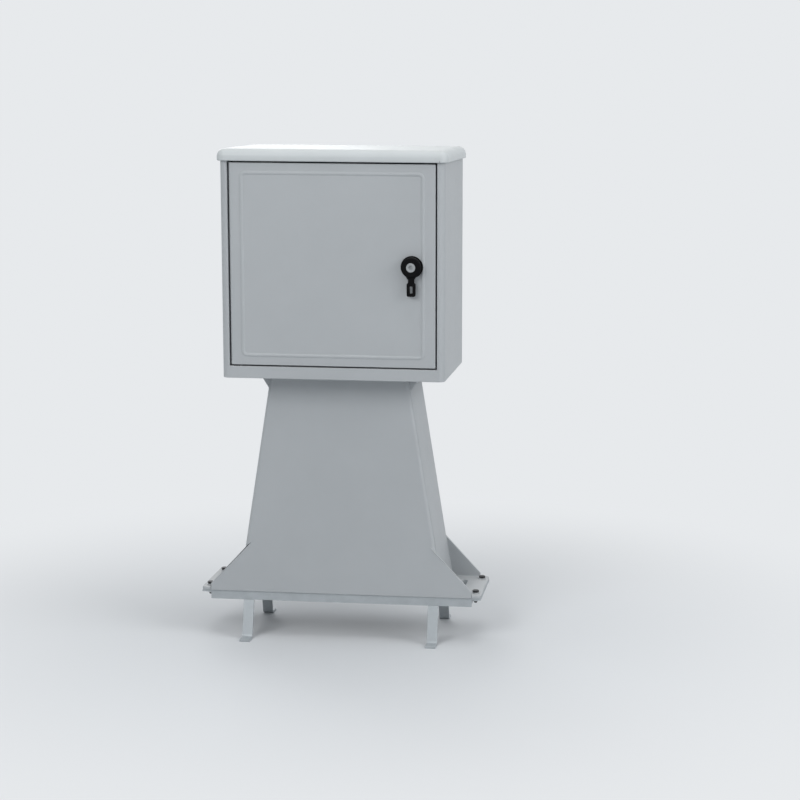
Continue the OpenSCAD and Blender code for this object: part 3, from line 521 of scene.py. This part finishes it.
# %% Round corners for the roof cap
ROOF_ROUND, ROOF_SKIN = 0.018, 0.0165
CORNER_CUTS, SLIVER = 3, 1e-4
roof_low, roof_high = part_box("roof_cap")
ball = roof_high - Vector((ROOF_ROUND, ROOF_ROUND, ROOF_ROUND))


def from_ball(point):
    x, y = (math.copysign(max(0.0, abs(point[i]) - ball[i]), point[i]) for i in (0, 1))
    return Vector((x, y, max(0.0, point.z - ball.z)))


def on_skin(face):
    return face.normal.z > -0.5 and from_ball(face.calc_center_median()).length > ROOF_SKIN


def at_corner(face):
    mid = face.calc_center_median()
    return abs(mid.x) > ball.x and abs(mid.y) > ball.y and mid.z > ball.z


def round_corners(bm):
    for centre in ((ball.x, 0, 0), (-ball.x, 0, 0), (0, ball.y, 0), (0, -ball.y, 0), (0, 0, ball.z)):
        everything = bm.verts[:] + bm.edges[:] + bm.faces[:]
        bmesh.ops.bisect_plane(bm, geom=everything, dist=1e-6, plane_co=centre,
                               plane_no=Vector(centre).normalized())
    bmesh.ops.remove_doubles(bm, verts=bm.verts, dist=SLIVER)
    patches = bmesh.ops.triangulate(bm, faces=[f for f in bm.faces if on_skin(f) and at_corner(f)])["faces"]
    bmesh.ops.subdivide_edges(bm, edges=list({e for f in patches for e in f.edges}), cuts=CORNER_CUTS,
                              use_grid_fill=True)
    for v in {v for f in bm.faces if on_skin(f) for v in f.verts}:
        reach = from_ball(v.co)
        v.co += reach.normalized() * ROOF_ROUND - reach
    bmesh.ops.remove_doubles(bm, verts=bm.verts, dist=SLIVER)
    bm.normal_update()


print("roof corners round about", [round(v, 4) for v in ball])

# %% [markdown]
# The cap looks bull-nosed: its lower outer edge is rounded too, more than the other edges.
# That edge lies on the cap's underside, and one of its two faces looks away from the middle of the cap.

# %% The roof cap
ROOF_EDGE, ROOF_NOSE = 0.0008, 0.0028


def roof_rim(edge):
    mid = (edge.verts[0].co + edge.verts[1].co) / 2
    looks_out = any(f.normal.x * mid.x + f.normal.y * mid.y > 0.05 for f in edge.link_faces)
    looks_down = any(f.normal.z < -0.9 for f in edge.link_faces)
    return looks_out and looks_down and abs(mid.z - roof_low.z) < SLIVER


soften("roof_cap", ROOF_EDGE, roof_rim, ROOF_NOSE, round_corners)

# %% [markdown]
# Lock, frame, legs and the plates inside are metal or hard plastic, and a few pieces are rubber.
# The same call serves them all.
# Hard edges are only broken, by well under a millimetre, and the soft gasket is rounder.

# %% Lock, frame and the pieces inside
for node, width in (("lock_rosette", 0.0006), ("lock_handle", 0.0007), ("key_plug", 0.0004),
                    ("lock_nut", 0.0005), ("lock_spindle", 0.0004), ("latch_cam", 0.0004),
                    ("cam_screw", 0.0003), ("hinge_pins", 0.0004), ("hinge_washers", 0.0003),
                    ("mounting_plate", 0.0003), ("gland_plate", 0.0003), ("cable_grommets", 0.0005),
                    ("door_gasket", 0.001), ("cabinet_washers", 0.0002), ("base_washers", 0.0002),
                    ("anchor_frame", 0.0006), ("anchor_legs", 0.0006)):
    soften(node, width)

# %% [markdown]
# ## Fasteners
# Bolts, nuts and screws come in fours, one at each corner of what they hold.
# So one of each is turned from rings of points, like work on a lathe, and set at the four corners later.
# Hexagons are rings too, whose radius changes with the angle.
# In a thread the radius also changes from ring to ring, so that its crest climbs along a helix.

# %% Rings of points
SIDES = 24
ANGLES = [2 * math.pi * i / SIDES for i in range(SIDES)]


def ring(radius, z):
    return [(radius * math.cos(a), radius * math.sin(a), z) for a in ANGLES]


def hex_ring(flats, z, crown=1.0, slope=0.0):
    reach = [flats / 2 / math.cos(a % math.radians(60) - math.radians(30)) for a in ANGLES]
    return [(r * math.cos(a), r * math.sin(a), z - slope * max(0.0, r - crown)) for r, a in zip(reach, ANGLES)]


def thread(radius, pitch, top, bottom, samples=5):
    rows = []
    deep = 0.5 * pitch
    count = round((top - bottom) / pitch * samples)
    for i in range(count + 1):
        z = top + (bottom - top) * i / count
        wave = [abs(2 * ((z / pitch - a / (2 * math.pi)) % 1) - 1) for a in ANGLES]
        reach = [radius - deep * w for w in wave]
        rows.append([(r * math.cos(a), r * math.sin(a), z) for r, a in zip(reach, ANGLES)])
    return rows


print("rings of", SIDES, "points")

# %% [markdown]
# Each ring is joined to the next by a band of faces. A bolt is closed by a face at either end.
# A nut has a bore instead, so its last ring is joined to its first one.
# Blender's Screw modifier could turn a profile too, but it makes round pieces only and no hexagons.

# %% Rings joined to a closed mesh
def turned(name, rows, loop=False):
    points = [p for row in rows for p in row]
    faces = []
    for i in range(len(rows) - (0 if loop else 1)):
        here, there = i * SIDES, (i + 1) % len(rows) * SIDES
        faces += [(here + k, here + (k + 1) % SIDES, there + (k + 1) % SIDES, there + k) for k in range(SIDES)]
    if not loop:
        faces += [tuple(range(SIDES)), tuple(range(len(points) - SIDES, len(points)))]
    mesh = bpy.data.meshes.new(name)
    mesh.from_pydata(points, [], faces)
    bm = bmesh.new()
    bm.from_mesh(mesh)
    bmesh.ops.recalc_face_normals(bm, faces=bm.faces)
    bm.to_mesh(mesh)
    bm.free()
    print(name, len(faces), "faces")
    return mesh


# %% [markdown]
# The bolts and nuts are M8, with a hexagon of 13 mm.
# Its corners are cut by a 30 degree cone, which leaves the well-known arcs on the six flanks.

# %% Hexagon bolt and nut
FLATS, BOLT_HEAD, NUT_H = 0.013, 0.0053, 0.0065
BOLT_R, BOLT_PITCH, BOLT_TIP = 0.004, 0.00125, 0.001
CROWN, SLOPE = 0.475 * FLATS, math.tan(math.radians(30))


def hex_bolt(name, length):
    head = [ring(CROWN, BOLT_HEAD), hex_ring(FLATS, BOLT_HEAD, CROWN, SLOPE),
            hex_ring(FLATS, 0), ring(BOLT_R, 0)]
    shank = thread(BOLT_R, BOLT_PITCH, -BOLT_TIP, BOLT_TIP - length)
    return turned(name, head + shank + [ring(0.8 * BOLT_R, -length)])


def hex_nut(name):
    rows = [ring(BOLT_R, NUT_H), ring(CROWN, NUT_H), hex_ring(FLATS, NUT_H, CROWN, SLOPE),
            hex_ring(FLATS, 0, CROWN, -SLOPE), ring(CROWN, 0), ring(BOLT_R, 0)]
    return turned(name, rows, loop=True)


print("hexagon of", FLATS, "m, thread of", 2 * BOLT_R, "m")

# %% [markdown]
# The small screws are M5, with a pan head and a hexagon socket.
# The first ring is the floor of the socket, and three rings round the shoulder of the pan.

# %% Pan screw
PAN_R, PAN_H, PAN_ROUND, SOCKET = 0.005, 0.0032, 0.0013, 0.0025
SCREW_R, SCREW_PITCH, SCREW_NECK, SCREW_TIP = 0.0025, 0.0008, 0.0005, 0.0007


def pan_screw(name, length):
    head = [hex_ring(SOCKET, PAN_H / 2), hex_ring(SOCKET, PAN_H), ring(PAN_R - PAN_ROUND, PAN_H)]
    for t in (0.5, 1.0, math.pi / 2):
        head.append(ring(PAN_R - PAN_ROUND * (1 - math.sin(t)), PAN_H - PAN_ROUND * (1 - math.cos(t))))
    head += [ring(PAN_R, 0), ring(SCREW_R, 0)]
    shank = thread(SCREW_R, SCREW_PITCH, -SCREW_NECK, SCREW_TIP - length, samples=4)
    return turned(name, head + shank + [ring(0.7 * SCREW_R, -length)])


print("pan head of", 2 * PAN_R, "m, thread of", 2 * SCREW_R, "m")

# %% [markdown]
# Four copies could be placed in a loop, but a tree of Geometry Nodes can be used again for any piece.
# It makes a grid of two by two points, sets the piece on each point, then turns and moves the four together.
# It ends by making the copies real and giving them their finish, so that the result is a plain mesh.

# %% Geometry Nodes: a piece at four corners
GEOMETRY, MATERIAL = "NodeSocketGeometry", "NodeSocketMaterial"
ROTATION, VECTOR = "NodeSocketRotation", "NodeSocketVector"
corners_tree, given, out = start_group(
    "repeat_at_corners",
    [("Geometry", GEOMETRY, None), ("Span X", FLOAT, 0.1), ("Span Y", FLOAT, 0.1),
     ("Turn", ROTATION, None), ("Move", VECTOR, None), ("Finish", MATERIAL, None)],
    [("Geometry", GEOMETRY)],
    "GeometryNodeTree",
)
grid = add(corners_tree, "GeometryNodeMeshGrid", {"Size X": given["Span X"], "Size Y": given["Span Y"],
                                                  "Vertices X": 2, "Vertices Y": 2})
four = add(corners_tree, "GeometryNodeInstanceOnPoints",
           {"Points": grid.outputs["Mesh"], "Instance": given["Geometry"]})
set_out = add(corners_tree, "GeometryNodeTransform",
              {"Geometry": four.outputs[0], "Translation": given["Move"], "Rotation": given["Turn"]})
real = add(corners_tree, "GeometryNodeRealizeInstances", {0: set_out.outputs[0]})
painted = add(corners_tree, "GeometryNodeSetMaterial",
              {"Geometry": real.outputs[0], "Material": given["Finish"]})
corners_tree.links.new(painted.outputs[0], out["Geometry"])
socket_of = {i.name: i.identifier for i in corners_tree.interface.items_tree if i.in_out == "INPUT"}
print("tree", corners_tree.name, sorted(socket_of))

# %% [markdown]
# A tree runs as a modifier on an object, so a host object carries it for a moment.
# The host's finished mesh is handed over in place of the CAD node, and the host is removed.

# %% A call that runs the tree for one node
def at_corners(node, mesh, span_x, span_y, move, turn=(0.0, 0.0, 0.0)):
    host = bpy.data.objects.new(node + "_host", mesh)
    bpy.context.scene.collection.objects.link(host)
    repeat = host.modifiers.new("repeat", "NODES")
    repeat.node_group = corners_tree
    for label, value in (("Span X", span_x), ("Span Y", span_y), ("Turn", turn), ("Move", tuple(move)),
                         ("Finish", finish_of_node[node])):
        repeat[socket_of[label]] = value
    made = bpy.data.meshes.new_from_object(host.evaluated_get(bpy.context.evaluated_depsgraph_get()))
    bpy.data.objects.remove(host)
    made.name = node + "_dressed"
    hand_over(node, made)


# %% [markdown]
# The places come from the boxes of the CAD nodes, so nothing is measured twice.
# A box is one fastener wider and deeper than the grid of its centres.
# A hexagon is wider over its corners, which lie along x, than over its flats.

# %% Bolts and nuts
CORNERS = FLATS / math.cos(math.radians(30))
for node in ("base_bolts", "cabinet_bolts", "base_nuts", "cabinet_nuts"):
    low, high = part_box(node)
    middle = (low + high) / 2
    seat = high.z - BOLT_HEAD if node.endswith("bolts") else low.z
    mesh = hex_bolt(node, seat - low.z) if node.endswith("bolts") else hex_nut(node)
    at_corners(node, mesh, high.x - low.x - CORNERS, high.y - low.y - FLATS, (middle.x, middle.y, seat))

# %% [markdown]
# The screws of the gland plate stand upright. Those of the roof are driven from below, so they turn half round.
# Those of the mounting plate lie level and are driven from the front, so they turn by a quarter.

# %% Small screws
for node, turn in (("gland_screws", 0.0), ("roof_screws", math.pi), ("plate_screws", math.pi / 2)):
    low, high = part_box(node)
    middle, size = (low + high) / 2, high - low
    if node == "plate_screws":
        span, length, move = size.z, size.y - PAN_H, (middle.x, low.y + PAN_H, middle.z)
    else:
        seat = low.z + PAN_H if turn else high.z - PAN_H
        span, length, move = size.y, size.z - PAN_H, (middle.x, middle.y, seat)
    at_corners(node, pan_screw(node, length), size.x - 2 * PAN_R, span - 2 * PAN_R, move, (turn, 0.0, 0.0))

# %% [markdown]
# ## Size
# The last cell prints the visual box, so that it can be compared with the CAD box after each render.

# %% Print the visual box
low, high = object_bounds()
print("visual box:", [round(v, 4) for v in low], [round(v, 4) for v in high])
